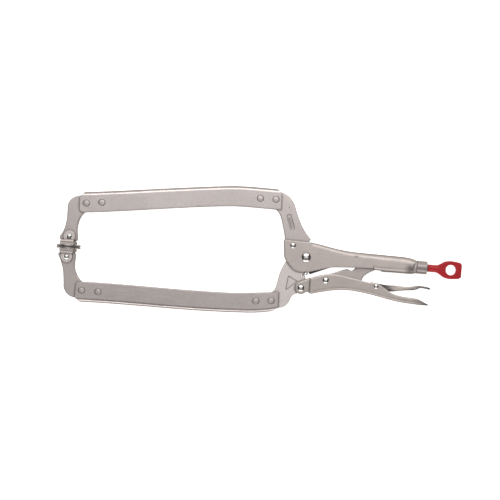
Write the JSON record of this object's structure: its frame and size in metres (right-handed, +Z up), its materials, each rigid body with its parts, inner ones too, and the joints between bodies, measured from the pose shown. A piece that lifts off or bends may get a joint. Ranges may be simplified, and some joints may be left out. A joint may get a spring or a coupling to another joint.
{
  "type": "locking c clamp",
  "caption": "Long-reach locking C clamp with swivel pads, toggle-locking handles, release lever and a screw that sets the jaw gap.",
  "frame": {"origin": "under the middle of the clamp's box, on the surface that the clamp lies on", "axes": "+X from the pads towards the adjusting screw, +Y towards the fixed jaw, +Z up through the thickness of the clamp, which lies on its side"},
  "size_m": [0.4568, 0.1428, 0.027],
  "materials": {
    "handle_steel": "satin nickel plate on pressed sheet",
    "channel_steel": "satin nickel plate on bent sheet, faint mottle",
    "jaw_steel": "satin nickel plate on thick stamped plate",
    "lever_steel": "satin plate on bent sheet",
    "link_steel": "satin plate",
    "collar_steel": "turned and plated",
    "screw_steel": "rolled thread, plated",
    "rivet_steel": "polished domed heads",
    "flush_rivet_steel": "satin plate, heads pressed nearly flush",
    "pad_steel": "bright plate",
    "spring_steel": "oiled spring wire",
    "red_grip": "satin red moulding"
  },
  "bodies": {
    "root": {"fixed_handle": "handle_steel", "screw_collar": "collar_steel", "upper_jaw_root": "jaw_steel", "upper_channel": "channel_steel", "upper_jaw_tip": "jaw_steel", "main_pivot_rivet": "rivet_steel", "fixed_jaw_rivet": "rivet_steel", "spring_anchor_pin": "rivet_steel", "return_spring": "spring_steel", "upper_channel_rivet_1": "flush_rivet_steel", "upper_channel_rivet_2": "flush_rivet_steel", "upper_channel_rivet_3": "flush_rivet_steel", "upper_channel_rivet_4": "flush_rivet_steel"},
    "lower_jaw": {"lower_jaw_root": "jaw_steel", "lower_channel": "channel_steel", "lower_jaw_tip": "jaw_steel", "handle_pivot_rivet": "rivet_steel", "lower_channel_rivet_1": "flush_rivet_steel", "lower_channel_rivet_2": "flush_rivet_steel", "lower_channel_rivet_3": "flush_rivet_steel", "lower_channel_rivet_4": "flush_rivet_steel"},
    "moving_handle": {"moving_handle": "handle_steel", "link_pivot_rivet": "rivet_steel", "release_lever_rivet": "rivet_steel"},
    "toggle_link": {"toggle_link": "link_steel"},
    "release_lever": {"release_lever": "lever_steel"},
    "screw_tip": {"screw_tip": "screw_steel"},
    "screw": {"adjusting_screw": "screw_steel", "screw_loop": "red_grip"},
    "upper_pad": {"upper_pad": "pad_steel", "upper_pad_pin": "rivet_steel"},
    "lower_pad": {"lower_pad": "pad_steel", "lower_pad_pin": "rivet_steel"}
  },
  "joints": [
    {"name": "jaw_open", "type": "hinge", "parent": "root", "child": "lower_jaw", "pos_m": [0.05263, -0.00342, 0.0135], "axis": [0, 0, 1], "range_deg": [0, 28], "deforming": ["return_spring"]},
    {"name": "handle_open", "type": "hinge", "parent": "lower_jaw", "child": "moving_handle", "pos_m": [0.04903, -0.03822, 0.0135], "axis": [0, 0, 1], "range_deg": [-84, 0]},
    {"name": "link_swing", "type": "hinge", "parent": "moving_handle", "child": "toggle_link", "pos_m": [0.07623, -0.02762, 0.0135], "axis": [0, 0, 1], "range_deg": [0, 84]},
    {"name": "lever_press", "type": "hinge", "parent": "moving_handle", "child": "release_lever", "pos_m": [0.13303, -0.03062, 0.0135], "axis": [0, 0, 1], "range_deg": [-9, 0]},
    {"name": "screw_advance", "type": "slide", "parent": "root", "child": "screw_tip", "axis": [0.9997, -0.0227, 0], "range_m": [0, 0.024]},
    {"name": "screw_turn", "type": "hinge", "parent": "screw_tip", "child": "screw", "pos_m": [0.17263, -0.00587, 0.0135], "axis": [0.9997, -0.0227, 0], "range_deg": [0, 5760]},
    {"name": "upper_pad_swivel", "type": "hinge", "parent": "root", "child": "upper_pad", "pos_m": [-0.21417, 0.00198, 0.0135], "axis": [0, 0, 1], "range_deg": [0, 14]},
    {"name": "lower_pad_swivel", "type": "hinge", "parent": "lower_jaw", "child": "lower_pad", "pos_m": [-0.21577, -0.02102, 0.0135], "axis": [0, 0, 1], "range_deg": [-14, 0]}
  ],
  "couplings": [
    {"joint": "handle_open", "follows": "jaw_open", "ratio": -3},
    {"joint": "link_swing", "follows": "jaw_open", "ratio": 3},
    {"joint": "upper_pad_swivel", "follows": "jaw_open", "ratio": 0.5},
    {"joint": "lower_pad_swivel", "follows": "jaw_open", "ratio": -0.5},
    {"joint": "screw_turn", "follows": "screw_advance", "rad_per_m": 4188.8}
  ]
}
